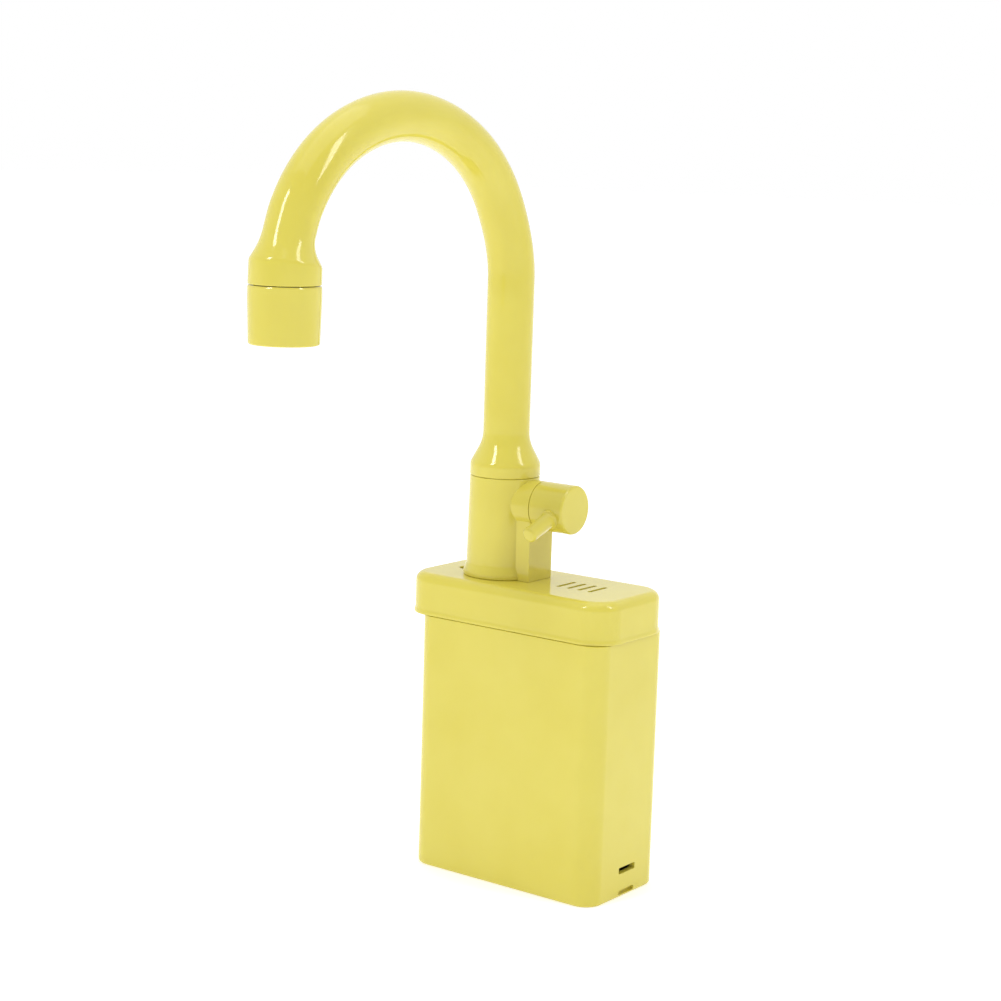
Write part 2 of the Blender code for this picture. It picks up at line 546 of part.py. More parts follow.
# ---- spout --------------------------------------------------------------------------------------
NOZZLE_FLARE = ((213.0, SPOUT_R), (208.0, 7.85), (204.5, 8.5), (202.6, 9.15), (201.0, 9.85), (199.3, 10.2),
                (197.0, 10.35), (194.2, NOZZLE_R), (ARCH_Z, NOZZLE_R))
FOOT_FLARE = ((SPOUT_FOOT, 11.35), (132.6, 11.35), (133.8, 11.15), (135.1, 10.75), (137.7, 9.4),
              (139.2, 8.6), (140.4, 8.15), (142.2, 7.7), (145.0, SPOUT_R))


def arch_points():
    """Centre line from the riser's top to the nozzle, as (y, z): two side arcs and a flatter crown."""
    half_reach = SPOUT_REACH / 2
    shift = half_reach - ARCH_SIDE_R
    drop = math.sqrt((ARCH_TOP_R - ARCH_SIDE_R) ** 2 - shift ** 2)
    side = math.atan2(drop, shift)
    points = []
    for i in range(9):
        a = side * i / 9
        points.append((ARCH_SIDE_R * (math.cos(a) - 1), ARCH_Z + ARCH_SIDE_R * math.sin(a)))
    for i in range(10):
        a = side + (math.pi - 2 * side) * i / 9
        points.append((ARCH_TOP_R * math.cos(a) - half_reach, ARCH_Z - drop + ARCH_TOP_R * math.sin(a)))
    end_arc = []
    for z, _ in NOZZLE_FLARE:
        a = math.asin((z - ARCH_Z) / ARCH_SIDE_R)
        end_arc.append((ARCH_SIDE_R * (1 - math.cos(a)) - SPOUT_REACH, z))
    first = math.asin((NOZZLE_FLARE[0][0] - ARCH_Z) / ARCH_SIDE_R)
    for i in range(1, 5):
        a = side + (first - side) * i / 5
        points.append((ARCH_SIDE_R * (1 - math.cos(a)) - SPOUT_REACH, ARCH_Z + ARCH_SIDE_R * math.sin(a)))
    return points, end_arc


def lean(z):
    """How far the bent tube leans towards -Y at a height; nothing at the nozzle or down the riser."""
    share = min(1.0, max(0.0, (z - LEAN_Z0) / LEAN_RISE))
    return ARCH_LEAN * share * share * (3 - 2 * share)


def build_spout():
    """Swivels about the column's axis, so its origin is on that axis."""
    arch, end_arc = arch_points()
    line = [(0.0, z, r) for z, r in FOOT_FLARE] + [(0.0, 168.0, SPOUT_R)]
    line += [(y, z, SPOUT_R) for y, z in arch]
    line += [(y, z, r) for (y, z), (_, r) in zip(end_arc, NOZZLE_FLARE)]
    points = [(0.0, y - lean(z), z) for y, z, _ in line]
    tube = swept("spout_tube", points, [r for _, _, r in line], YELLOW, caps=False, ring_res=8)
    tube.location = (COL_X * MM, 0.0, 0.0)
    wall = tube.modifiers.new("wall", 'SOLIDIFY')
    wall.thickness = SPOUT_WALL * MM
    wall.offset = -1.0
    wall.use_even_offset = True


def build_spout_bush():
    at = (COL_X, 0, 0)
    bush = [(9.3, 133.0), (9.3, 114.9), (8.0, 114.9), (8.0, 112.5), (9.3, 112.5), (9.3, 111.0), (3.6, 111.0),
            (3.6, 112.9), (4.7, 112.9), (4.7, 115.1), (3.6, 115.1), (3.6, 119.5), (5.5, 121.0), (5.5, 133.0)]
    turned("spout_bush", bush, GREY, at, ring=True, steps=24)
    o_ring("spout_seal", 8.8, 0.6, 113.7, at)


def build_nozzle():
    at = (COL_X, -SPOUT_REACH, 0)
    top = ARCH_Z - GAP
    cap = [(NOZZLE_R - 0.15, top), (NOZZLE_R + 0.1, top - 0.4), (NOZZLE_R + 0.1, top - 5),
           (NOZZLE_R - 0.1, NOZZLE_Z0 + 0.6), (NOZZLE_R - 0.6, NOZZLE_Z0), (8.2, NOZZLE_Z0),
           (7.9, NOZZLE_Z0 + 0.5), (7.9, 179.2), (8.8, 179.2), (8.8, top)]
    turned("nozzle_cap", cap, YELLOW, at, ring=True)
    turned("nozzle_sleeve", tube_ring(8.0, 6.4, 184.6, 197.0), GREY, at, ring=True, steps=32)
    turned("nozzle_seal", tube_ring(8.5, 6.6, 182.4, 184.3), RUBBER, at, ring=True, steps=32)
    screen = cylinder("flow_screen", 8.5, (179.5, 182.1), GREY, at=at, steps=32)
    places = [(0.0, 0.0)]
    places += [(2.9, math.pi / 3 * i) for i in range(6)]
    places += [(5.8, math.pi / 6 * (i + 0.5)) for i in range(12)]
    for i, (r, a) in enumerate(places):
        hole = cylinder(f"screen_hole_{i + 1}", 0.8, (178, 184), cutter=True, steps=6,
                        at=(COL_X + r * math.cos(a), r * math.sin(a) - SPOUT_REACH, 0))
        boolean(screen, hole)


# ---- build --------------------------------------------------------------------------------------
for build in (build_box_shell, build_lid, build_lid_gasket, build_lid_screw, build_battery_case, build_cells,
              build_contacts, build_pump_casing, build_strainer, build_motor, build_rotor, build_hose,
              build_column, build_feed_nipple, build_switch, build_leads, build_lever, build_spout,
              build_spout_bush, build_nozzle):
    build()

MOVING = {
    ("swivel_axis", (COL_X, 0, SPOUT_FOOT)): ("spout_tube", "spout_bush", "spout_seal", "nozzle_cap",
                                              "nozzle_sleeve", "nozzle_seal", "flow_screen"),
    ("lever_axis", (0, 0, LEVER_Z)): ("lever_knob", "lever_hub", "lever_rod", "lever_shaft", "lever_cam"),
    ("rotor_axis", (PUMP_X, 0, 12)): ("rotor_shaft", "rotor_core", "impeller"),
}
for (axis_name, axis_place), pieces in MOVING.items():
    axis_empty = joint_axis(axis_name, axis_place)
    for piece_name in pieces:
        hang(bpy.data.objects[piece_name], axis_empty)

bpy.context.view_layer.update()
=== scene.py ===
import json
import math
import bmesh
import bpy
from mathutils import Matrix, Vector


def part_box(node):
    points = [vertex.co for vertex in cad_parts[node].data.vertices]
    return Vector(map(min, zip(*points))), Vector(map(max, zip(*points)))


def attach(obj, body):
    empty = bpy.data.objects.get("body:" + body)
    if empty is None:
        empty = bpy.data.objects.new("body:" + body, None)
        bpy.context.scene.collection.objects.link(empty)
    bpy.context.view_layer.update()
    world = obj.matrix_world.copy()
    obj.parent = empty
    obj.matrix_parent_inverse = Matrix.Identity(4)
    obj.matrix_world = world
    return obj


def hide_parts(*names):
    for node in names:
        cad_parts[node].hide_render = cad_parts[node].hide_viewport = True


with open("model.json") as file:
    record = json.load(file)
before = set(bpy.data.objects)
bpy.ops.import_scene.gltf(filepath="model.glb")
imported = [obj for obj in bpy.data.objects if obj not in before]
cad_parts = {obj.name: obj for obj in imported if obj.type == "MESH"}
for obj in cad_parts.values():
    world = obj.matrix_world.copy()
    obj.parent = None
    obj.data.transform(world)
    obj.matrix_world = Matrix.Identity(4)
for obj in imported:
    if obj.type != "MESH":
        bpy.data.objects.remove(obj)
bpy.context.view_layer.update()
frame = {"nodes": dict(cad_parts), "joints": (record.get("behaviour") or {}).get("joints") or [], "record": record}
mm = 0.001
joints = {joint["name"]: joint for joint in frame["joints"]}
swivelX = joints["spout_swivel"]["pos_m"][0]  # column and riser axis
leverZ = joints["lever_turn"]["pos_m"][2]  # lever axis, along X
print("frame loaded:", len(frame["nodes"]), "nodes")


# small tools shared by every piece
def fromHex(text):  # sRGB hex to linear
    channels = [int(text[i:i + 2], 16) / 255 for i in (1, 3, 5)]
    return tuple(c / 12.92 if c <= 0.04045 else ((c + 0.055) / 1.055) ** 2.4 for c in channels) + (1.0,)


def addNode(material, kind, settings, links):
    node = material.node_tree.nodes.new(kind)
    for name, value in settings.items():
        if isinstance(name, int) or name in node.inputs:
            node.inputs[name].default_value = value
        else:
            setattr(node, name, value)
    for socket, source in links.items():
        material.node_tree.links.new(source, node.inputs[socket])
    return node


def newMaterial(name):
    material = bpy.data.materials.new(name)
    material.use_nodes = True
    return material, material.node_tree.nodes["Principled BSDF"]


def roundCorners(points, radii, steps=5):  # profile corners turned into arcs
    out = []
    for i, (point, radius) in enumerate(zip(points, radii)):
        corner = Vector(point)
        if radius <= 0 or i in (0, len(points) - 1):
            out.append(corner)
            continue
        toLast = (Vector(points[i - 1]) - corner).normalized()
        toNext = (Vector(points[i + 1]) - corner).normalized()
        half = toLast.angle(toNext) / 2
        middle = corner + (toLast + toNext).normalized() * radius / math.sin(half)
        start = corner + toLast * radius / math.tan(half) - middle
        end = corner + toNext * radius / math.tan(half) - middle
        turn = start.angle_signed(end)
        for step in range(steps + 1):
            out.append(middle + Matrix.Rotation(-turn * step / steps, 2) @ start)
    return out


def latheOn(bm, profile, centre, axis, steps=96):  # profile holds (radius, distance along axis)
    along = Vector(axis).normalized()
    side = along.orthogonal().normalized()
    verts = [bm.verts.new(Vector(centre) + side * r + along * h) for r, h in profile]
    edges = [bm.edges.new(pair) for pair in zip(verts, verts[1:])]
    bmesh.ops.spin(bm, geom=verts + edges, cent=centre, axis=along, dvec=(0, 0, 0), angle=2 * math.pi,
                   steps=steps, use_merge=True, use_duplicate=False)
    bmesh.ops.remove_doubles(bm, verts=bm.verts, dist=0.00001)
    bmesh.ops.recalc_face_normals(bm, faces=bm.faces)


def blockOn(bm, lo, hi, corner=0.0, segments=12):  # upright block with round upright corners
    lo, hi = Vector(lo), Vector(hi)
    made = bmesh.ops.create_cube(bm, size=1.0, matrix=Matrix.Translation((lo + hi) / 2)
                                 @ Matrix.Diagonal((*(hi - lo), 1.0)))
    if corner:
        upright = {e for v in made["verts"] for e in v.link_edges
                   if abs(e.verts[0].co.z - e.verts[1].co.z) > (hi.z - lo.z) / 2}
        bevelOn(bm, list(upright), corner, segments)


def bevelOn(bm, edges, width, segments):
    bmesh.ops.bevel(bm, geom=edges, offset=width, offset_type="OFFSET", segments=segments, profile=0.5,
                    affect="EDGES", material=-1)


def rimAt(bm, z):  # the edges of the flat outline at a height
    return [e for e in bm.edges if all(abs(v.co.z - z) < 0.00001 for v in e.verts)
            and any(abs(f.normal.z) < 0.5 for f in e.link_faces)]


def plainObject(name, bm):
    mesh = bpy.data.meshes.new(name)
    bm.to_mesh(mesh)
    bm.free()
    piece = bpy.data.objects.new(name, mesh)
    bpy.context.scene.collection.objects.link(piece)
    return piece


def settle(piece):  # modifiers become mesh
    bpy.context.view_layer.update()
    mesh = bpy.data.meshes.new_from_object(piece.evaluated_get(bpy.context.evaluated_depsgraph_get()))
    piece.modifiers.clear()
    piece.data = mesh


def carve(piece, cutters, operation="DIFFERENCE"):
    for cutter in cutters:
        modifier = piece.modifiers.new("cut", "BOOLEAN")
        modifier.operation = operation
        modifier.solver = "EXACT"
        modifier.object = cutter
    settle(piece)
    for cutter in cutters:
        bpy.data.objects.remove(cutter)


def soften(piece, width, segments, angle):  # a moulded piece has no sharp edge
    modifier = piece.modifiers.new("soften", "BEVEL")
    modifier.width = width
    modifier.segments = segments
    modifier.limit_method = "ANGLE"
    modifier.angle_limit = math.radians(angle)
    modifier.profile = 0.5
    settle(piece)


def finishPiece(piece, material, body, replaced, sharp=40):
    piece.data.materials.clear()
    piece.data.materials.append(material)
    piece.data.shade_smooth()
    piece.data.set_sharp_from_angle(angle=math.radians(sharp))
    weighted = piece.modifiers.new("flatWalls", "WEIGHTED_NORMAL")
    weighted.keep_sharp = True
    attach(piece, body)
    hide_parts(*replaced)


yellowAbs = {
    "body": "#d6ca58",
    "deep": "#d2c54e",  # thicker or warmer patches of the moulding
    "patchSize": 26 * mm,
    "smudgeSize": 9 * mm,
    "smooth": 0.08,
    "dull": 0.18,
    "peelSize": 1.3 * mm,  # orange peel is nearer 0.3 mm, drawn coarser so that it shows
    "rippleSize": 11 * mm,
}


def glossyYellowAbs(cfg):
    # injection-moulded ABS from a polished tool: wet-looking gloss, faint flow clouds, slight ripple
    material, shader = newMaterial("mouldedYellowAbs")
    place = addNode(material, "ShaderNodeTexCoord", {}, {}).outputs["Object"]
    patches = addNode(material, "ShaderNodeTexNoise",
                      {"Scale": 1 / cfg["patchSize"], "Detail": 3.0, "Roughness": 0.5}, {"Vector": place})
    clouds = addNode(material, "ShaderNodeMapRange", {1: 0.3, 2: 0.7}, {0: patches.outputs["Fac"]})
    colour = addNode(material, "ShaderNodeMix",
                     {"data_type": "RGBA", 6: fromHex(cfg["body"]), 7: fromHex(cfg["deep"])},
                     {0: clouds.outputs["Result"]})
    smudges = addNode(material, "ShaderNodeTexNoise",
                      {"Scale": 1 / cfg["smudgeSize"], "Detail": 5.0, "Roughness": 0.6, "Distortion": 0.6},
                      {"Vector": place})
    gloss = addNode(material, "ShaderNodeMapRange", {1: 0.35, 2: 0.75, 3: cfg["smooth"], 4: cfg["dull"]},
                    {0: smudges.outputs["Fac"]})
    peel = addNode(material, "ShaderNodeTexNoise", {"Scale": 1 / cfg["peelSize"], "Detail": 2.0},
                   {"Vector": place})
    ripple = addNode(material, "ShaderNodeTexNoise", {"Scale": 1 / cfg["rippleSize"], "Detail": 1.0},
                     {"Vector": place})
    coarse = addNode(material, "ShaderNodeBump", {"Strength": 0.12, "Distance": 0.25 * mm},
                     {"Height": ripple.outputs["Fac"]})
    fine = addNode(material, "ShaderNodeBump", {"Strength": 0.04, "Distance": 0.03 * mm},
                   {"Height": peel.outputs["Fac"], "Normal": coarse.outputs["Normal"]})
    links = material.node_tree.links
    links.new(colour.outputs[2], shader.inputs["Base Color"])
    links.new(gloss.outputs["Result"], shader.inputs["Roughness"])
    links.new(fine.outputs["Normal"], shader.inputs["Normal"])
    shader.inputs["IOR"].default_value = 1.5
    shader.inputs["Subsurface Weight"].default_value = 0.12
    shader.inputs["Subsurface Radius"].default_value = (1.0, 0.8, 0.15)
    shader.inputs["Subsurface Scale"].default_value = 1.2 * mm
    return material


def mottled(name, light, dark, grain, rough, metallic=0.0, ior=1.5, bump=0.02):
    # base for the plain inner parts: two close tones, grain, and a matching spread of roughness
    material, shader = newMaterial(name)
    place = addNode(material, "ShaderNodeTexCoord", {}, {}).outputs["Object"]
    noise = addNode(material, "ShaderNodeTexNoise", {"Scale": 1 / grain, "Detail": 4.0}, {"Vector": place})
    colour = addNode(material, "ShaderNodeMix",
                     {"data_type": "RGBA", 6: fromHex(light), 7: fromHex(dark)}, {0: noise.outputs["Fac"]})
    spread = addNode(material, "ShaderNodeMapRange", {3: rough[0], 4: rough[1]}, {0: noise.outputs["Fac"]})
    relief = addNode(material, "ShaderNodeBump", {"Strength": 0.3, "Distance": bump * mm},
                     {"Height": noise.outputs["Fac"]})
    links = material.node_tree.links
    links.new(colour.outputs[2], shader.inputs["Base Color"])
    links.new(spread.outputs["Result"], shader.inputs["Roughness"])
    links.new(relief.outputs["Normal"], shader.inputs["Normal"])
    shader.inputs["Metallic"].default_value = metallic
    shader.inputs["IOR"].default_value = ior
    return material


yellowPlastic = glossyYellowAbs(yellowAbs)
finishes = {
    "yellow_moulding": yellowPlastic,
    "grey_moulding": mottled("greyPolypropylene", "#6b6d70", "#5c5e61", 1.5 * mm, (0.42, 0.55)),  # satin
    "black_rubber": mottled("nitrileRubber", "#1d1d1d", "#131313", 0.6 * mm, (0.65, 0.85), ior=1.52),
    "clear_hose": mottled("milkySilicone", "#d4d9d8", "#c4cac9", 2 * mm, (0.3, 0.42), ior=1.41),
    "plated_steel": mottled("zincPlatedSteel", "#c9c9c6", "#adafae", 1.2 * mm, (0.22, 0.4), 1.0),
    "ferrite": mottled("ferriteMagnet", "#2b2b2e", "#1f1f22", 0.8 * mm, (0.55, 0.7)),
    "switch_case": mottled("blackNylon", "#26262a", "#19191c", 1.0 * mm, (0.4, 0.55)),
    "cell_can": mottled("plainSteelCan", "#b9bbbf", "#9fa1a6", 3 * mm, (0.25, 0.38), 1.0),
    "copper_winding": mottled("enamelledCopper", "#c9824f", "#a8602f", 0.5 * mm, (0.3, 0.45), 1.0),
    "wire_cover": mottled("redPvcSleeve", "#b02a22", "#99211b", 1.0 * mm, (0.4, 0.5)),
}
slotOf = {part["node"]: part["material_slot"] for part in frame["record"]["subparts"]}
for nodeName, node in frame["nodes"].items():
    node.data.materials.clear()
    node.data.materials.append(finishes[slotOf[nodeName]])
print("materials made")


pumpBox = {
    "corner": 6.5 * mm,
    "footRound": 1.0 * mm,
    "wall": 2.0 * mm,
    "floor": 2.5 * mm,
    "rimRound": 0.3 * mm,
    "slotMid": 1.0 * mm,  # slots sit a little behind the middle of the end wall
    "inlet": (9.0 * mm, 2.1 * mm, 8.8 * mm),  # length, height, centre height
    "notch": (8.4 * mm, 1.5 * mm, 1.55 * mm),
    "notchDepth": 1.2 * mm,
    "slotCut": 4.0 * mm,  # how far the cutters run each side of the end wall
}


def endSlot(name, x0, x1, cfg, shape):
    length, height, z = shape
    bm = bmesh.new()
    bmesh.ops.create_cube(bm, size=1.0, matrix=Matrix.Translation(((x0 + x1) / 2, cfg["slotMid"], z))
                          @ Matrix.Diagonal((x1 - x0, length, height, 1.0)))
    ends = [e for e in bm.edges if abs(e.verts[0].co.x - e.verts[1].co.x) > 0.0001]
    bevelOn(bm, ends, height * 0.2, 3)
    return plainObject(name, bm)


def buildPumpBox(cfg):
    lo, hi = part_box("box_shell")
    bm = bmesh.new()
    blockOn(bm, lo, hi, cfg["corner"], 14)
    bevelOn(bm, rimAt(bm, lo.z), cfg["footRound"], 5)
    top = max(bm.faces, key=lambda f: f.calc_center_median().z)
    bmesh.ops.inset_region(bm, faces=[top], thickness=cfg["wall"], use_even_offset=True)
    sunk = bmesh.ops.extrude_face_region(bm, geom=[top])["geom"]
    bmesh.ops.delete(bm, geom=[top], context="FACES")
    down = [v for v in sunk if isinstance(v, bmesh.types.BMVert)]
    bmesh.ops.translate(bm, vec=(0, 0, lo.z + cfg["floor"] - hi.z), verts=down)
    bmesh.ops.recalc_face_normals(bm, faces=bm.faces)
    bevelOn(bm, rimAt(bm, hi.z), cfg["rimRound"], 2)
    piece = plainObject("pumpBoxBody", bm)
    outside = hi.x + cfg["slotCut"]
    carve(piece, [endSlot("inletCutter", hi.x - cfg["slotCut"], outside, cfg, cfg["inlet"]),
                  endSlot("notchCutter", hi.x - cfg["notchDepth"], outside, cfg, cfg["notch"])])
    finishPiece(piece, yellowPlastic, "pump_box", ["box_shell"])


buildPumpBox(pumpBox)
print("pump box built")


boxLid = {
    "corner": 10.2 * mm,
    "lip": 0.3 * mm,
    "lipHeight": 1.9 * mm,
    "lipSlope": 0.8 * mm,
    "spigot": 4.0 * mm,  # the CAD lid's spigot hangs this far below its rim
    "skirt": 0.74 * mm,  # the lip hangs this far past the gasket
    "skirtWall": 0.4 * mm,
    "lipRound": 0.26 * mm,
    "topRound": 3.0 * mm,
    "slots": 4,
    "slotFirst": 9.0 * mm,
    "slotPitch": 4.0 * mm,
    "slotWidth": 1.4 * mm,
    "slotSpan": (-4.5 * mm, 5.5 * mm),
    "slotCut": (5.0 * mm, 3.0 * mm),  # the slot cutters run this far below and above the top
    "hollow": (32.1 * mm, 15.45 * mm, 2.8 * mm),  # half sizes and corner of the underside's hollow
    "below": 5.0 * mm,  # the underside's cutters start this far below the rim
    "plate": 2.0 * mm,
    # the overhang's pocket: wall, half width, roof, gap to the box, corner
    "pocket": (2.3 * mm, 11.0 * mm, 2.4 * mm, 0.4 * mm, 1.0 * mm),
    "wellRadius": 2.4 * mm,
    "wellMouth": 0.35 * mm,
    "wellDepth": 2.2 * mm,  # below the screw head's top
    "pillar": (3.2 * mm, 1.0 * mm, 0.9 * mm),  # radius, top below the lid's, foot above the box's rim
}


def lidBlank(cfg):
    lo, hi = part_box("lid")
    rim = lo.z + cfg["spigot"] - cfg["skirt"]
    bm = bmesh.new()
    blockOn(bm, (lo.x + cfg["lip"], lo.y + cfg["lip"], rim), (hi.x - cfg["lip"], hi.y - cfg["lip"], hi.z),
            cfg["corner"] - cfg["lip"], 16)
    bevelOn(bm, rimAt(bm, hi.z), cfg["topRound"], 8)
    for height in (cfg["lipHeight"], cfg["lipHeight"] - cfg["lipSlope"]):
        bmesh.ops.bisect_plane(bm, geom=bm.verts[:] + bm.edges[:] + bm.faces[:], dist=0.000001,
                               plane_co=(0, 0, rim + height), plane_no=(0, 0, 1))
    outward = {}
    for vert in bm.verts:  # the wall runs out to the lip over a short slope
        if vert.co.z < rim + cfg["lipHeight"] - cfg["lipSlope"] / 2:
            sides = [f.normal for f in vert.link_faces if abs(f.normal.z) < 0.1]
            outward[vert] = sum(sides, Vector((0, 0, 0))).normalized()
    for vert, way in outward.items():
        vert.co += way * cfg["lip"]
    bevelOn(bm, rimAt(bm, rim), cfg["lipRound"], 3)
    return plainObject("boxLidCap", bm), rim


def screwAxis():
    lo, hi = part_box("lid_screw")
    return (lo.x + hi.x) / 2, 0, 0


def lidCutters(cfg, rim):
    lo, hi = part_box("lid")
    cutters = []
    bm = bmesh.new()
    halfX, halfY, corner = cfg["hollow"]
    under = rim - cfg["below"]
    blockOn(bm, (-halfX, -halfY, under), (halfX, halfY, hi.z - cfg["plate"]), corner, 6)
    cutters.append(plainObject("hollowCutter", bm))
    bm = bmesh.new()
    inset = cfg["lip"] + cfg["skirtWall"]
    blockOn(bm, (lo.x + inset, lo.y + inset, under), (hi.x - inset, hi.y - inset, rim + cfg["skirt"]),
            cfg["corner"] - inset, 16)
    cutters.append(plainObject("gasketGrooveCutter", bm))
    bm = bmesh.new()
    wall, half, roof, gap, corner = cfg["pocket"]
    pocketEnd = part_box("box_shell")[0].x - gap
    blockOn(bm, (lo.x + wall, -half, under), (pocketEnd, half, hi.z - roof), corner, 4)
    cutters.append(plainObject("pocketCutter", bm))
    half = cfg["slotWidth"] / 2
    (front, back), (down, up) = cfg["slotSpan"], cfg["slotCut"]
    for i in range(cfg["slots"]):
        x = cfg["slotFirst"] + cfg["slotPitch"] * i
        bm = bmesh.new()
        blockOn(bm, (x - half, front, hi.z - down), (x + half, back, hi.z + up), half * 0.9, 5)
        cutters.append(plainObject(f"dripSlotCutter{i + 1}", bm))
    bm = bmesh.new()
    well, mouth = cfg["wellRadius"], cfg["wellMouth"]
    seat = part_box("lid_screw")[1].z - cfg["wellDepth"]
    latheOn(bm, [(0, hi.z + 1 * mm), (well + mouth, hi.z + 1 * mm), (well + mouth, hi.z + 0.001 * mm),
                 (well, hi.z - mouth), (well, seat), (0, seat)], screwAxis(), (0, 0, 1), 40)
    cutters.append(plainObject("wellCutter", bm))
    return cutters


def screwPillar(cfg):  # the well's own wall, seen only through the slots
    radius, below, above = cfg["pillar"]
    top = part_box("lid")[1].z - below
    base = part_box("box_shell")[1].z + above
    bm = bmesh.new()
    latheOn(bm, [(0, top), (radius, top), (radius, base), (0, base)], screwAxis(), (0, 0, 1), 40)
    return plainObject("pillar", bm)


def buildLid(cfg):
    piece, rim = lidBlank(cfg)
    cutters = lidCutters(cfg, rim)
    carve(piece, cutters[:2])
    carve(piece, [screwPillar(cfg)], "UNION")
    carve(piece, cutters[2:])
    finishPiece(piece, yellowPlastic, "pump_box", ["lid"], 35)


buildLid(boxLid)
print("lid built")


column = {
    "topRadius": 11.3 * mm,
    "footRadius": 11.7 * mm,
    "ringRadius": 12.6 * mm,
    "ringHeight": 3.4 * mm,
    "shoulder": (0.6 * mm, 2.0 * mm),  # the cone meets the foot ring between these, above and below its top
    "seam": 0.06 * mm,  # above the lid
    "spigot": (9.4 * mm, 9.0 * mm),  # radius and depth below the lid's top
    "rounds": (0.35 * mm, 2.5 * mm, 2.0 * mm, 0.3 * mm),  # down the outline from the top rim
    "barrelRadius": 7.85 * mm,
    "postHalf": 6.2 * mm,
    "postFace": -1.3 * mm,
    "postWall": 1.6 * mm,
    "postFloor": 1.7 * mm,
    "moulded": (0.5 * mm, 4, 38),  # rounding where the housing meets the column: width, segments, angle
    "chamber": 6.1 * mm,
    "chamberEnd": 1.5 * mm,
    "bearing": 2.1 * mm,
    "bore": 9.6 * mm,
    "boreFloor": 1.5 * mm,
    "past": 2.0 * mm,  # cutters run this far past an open end
}


def buildColumn(cfg):
    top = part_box("column")[1]
    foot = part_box("lid")[1].z + cfg["seam"]
    axis = (swivelX, 0, 0)
    ring, (above, below) = foot + cfg["ringHeight"], cfg["shoulder"]
    spigot, depth = cfg["spigot"]
    outline = [(0, top.z), (cfg["topRadius"], top.z), (cfg["footRadius"], ring + above),
               (cfg["ringRadius"], ring - below), (cfg["ringRadius"], foot), (spigot, foot),
               (spigot, foot - depth), (0, foot - depth)]
    bm = bmesh.new()
    latheOn(bm, roundCorners(outline, [0, *cfg["rounds"], 0, 0, 0]), axis, (0, 0, 1), 96)
    piece = plainObject("tapColumn", bm)
    bm = bmesh.new()
    latheOn(bm, [(0, swivelX), (cfg["barrelRadius"], swivelX), (cfg["barrelRadius"], top.x), (0, top.x)],
            (0, 0, leverZ), (1, 0, 0), 80)
    barrel = plainObject("housingBarrel", bm)
    bm = bmesh.new()
    blockOn(bm, (swivelX, -cfg["postHalf"], foot), (cfg["postFace"], cfg["postHalf"], leverZ))
    post = plainObject("housingPost", bm)
    carve(piece, [barrel, post], "UNION")
    soften(piece, *cfg["moulded"])
    bm = bmesh.new()
    mouth, floor = top.z + cfg["past"], foot + cfg["boreFloor"]
    latheOn(bm, [(0, mouth), (cfg["bore"], mouth), (cfg["bore"], floor), (0, floor)], axis, (0, 0, 1), 64)
    bore = plainObject("boreCutter", bm)
    bm = bmesh.new()
    inner, outer = top.x - cfg["chamberEnd"], top.x + cfg["past"]
    latheOn(bm, [(0, swivelX), (cfg["chamber"], swivelX), (cfg["chamber"], inner), (cfg["bearing"], inner),
                 (cfg["bearing"], outer), (0, outer)], (0, 0, leverZ), (1, 0, 0), 48)
    chamber = plainObject("chamberCutter", bm)
    bm = bmesh.new()
    half = cfg["postHalf"] - cfg["postWall"]
    blockOn(bm, (swivelX, -half, foot + cfg["postFloor"]), (cfg["postFace"] - cfg["postWall"], half, leverZ))
    carve(piece, [bore, chamber, plainObject("postCutter", bm)])
    finishPiece(piece, yellowPlastic, "pump_box", ["column"], 50)


buildColumn(column)
print("column built")


spout = {
    "tube": 7.5 * mm,
    "footFlare": (11.35 * mm, 4.1 * mm, 11.3 * mm, 4 * mm, 12 * mm),  # collar, shoulder, cone, rounds
    "nozzleFlare": (10.4 * mm, 6.0 * mm, 11.2 * mm, 2.4 * mm, 13 * mm),
    "lean": (1.3 * mm, 192 * mm, 24 * mm),  # how far the arch leans over the nozzle, from where, over what
    "nozzleSeam": 0.9 * mm,  # above the level where the arc starts
    "seamGap": 0.3 * mm,  # the arcs start this far above the CAD cap's top
    "sideArc": 47.5 * mm,
    "crownArc": 59.0 * mm,
    "arcSteps": (24, 24, 12),  # rise, crown, fall
    "seamRound": 0.35 * mm,
    "wall": 1.6 * mm,
    "lipDepth": 6.0 * mm,  # how far the open ends are hollow
    "around": 72,
    "seamClose": 0.23 * mm,  # a push-fit seam, hair-thin
}


def flare(cfg, ending):  # (radius, height above that end's seam): collar, cone, then fillet into the tube
    collar, shoulder, coneEnd, shoulderRound, fillet = cfg[ending]
    outline = [(collar, 0), (collar, shoulder), (cfg["tube"], coneEnd), (cfg["tube"], coneEnd + 8 * mm)]
    return roundCorners(outline, [0, shoulderRound, fillet, 0], 8)


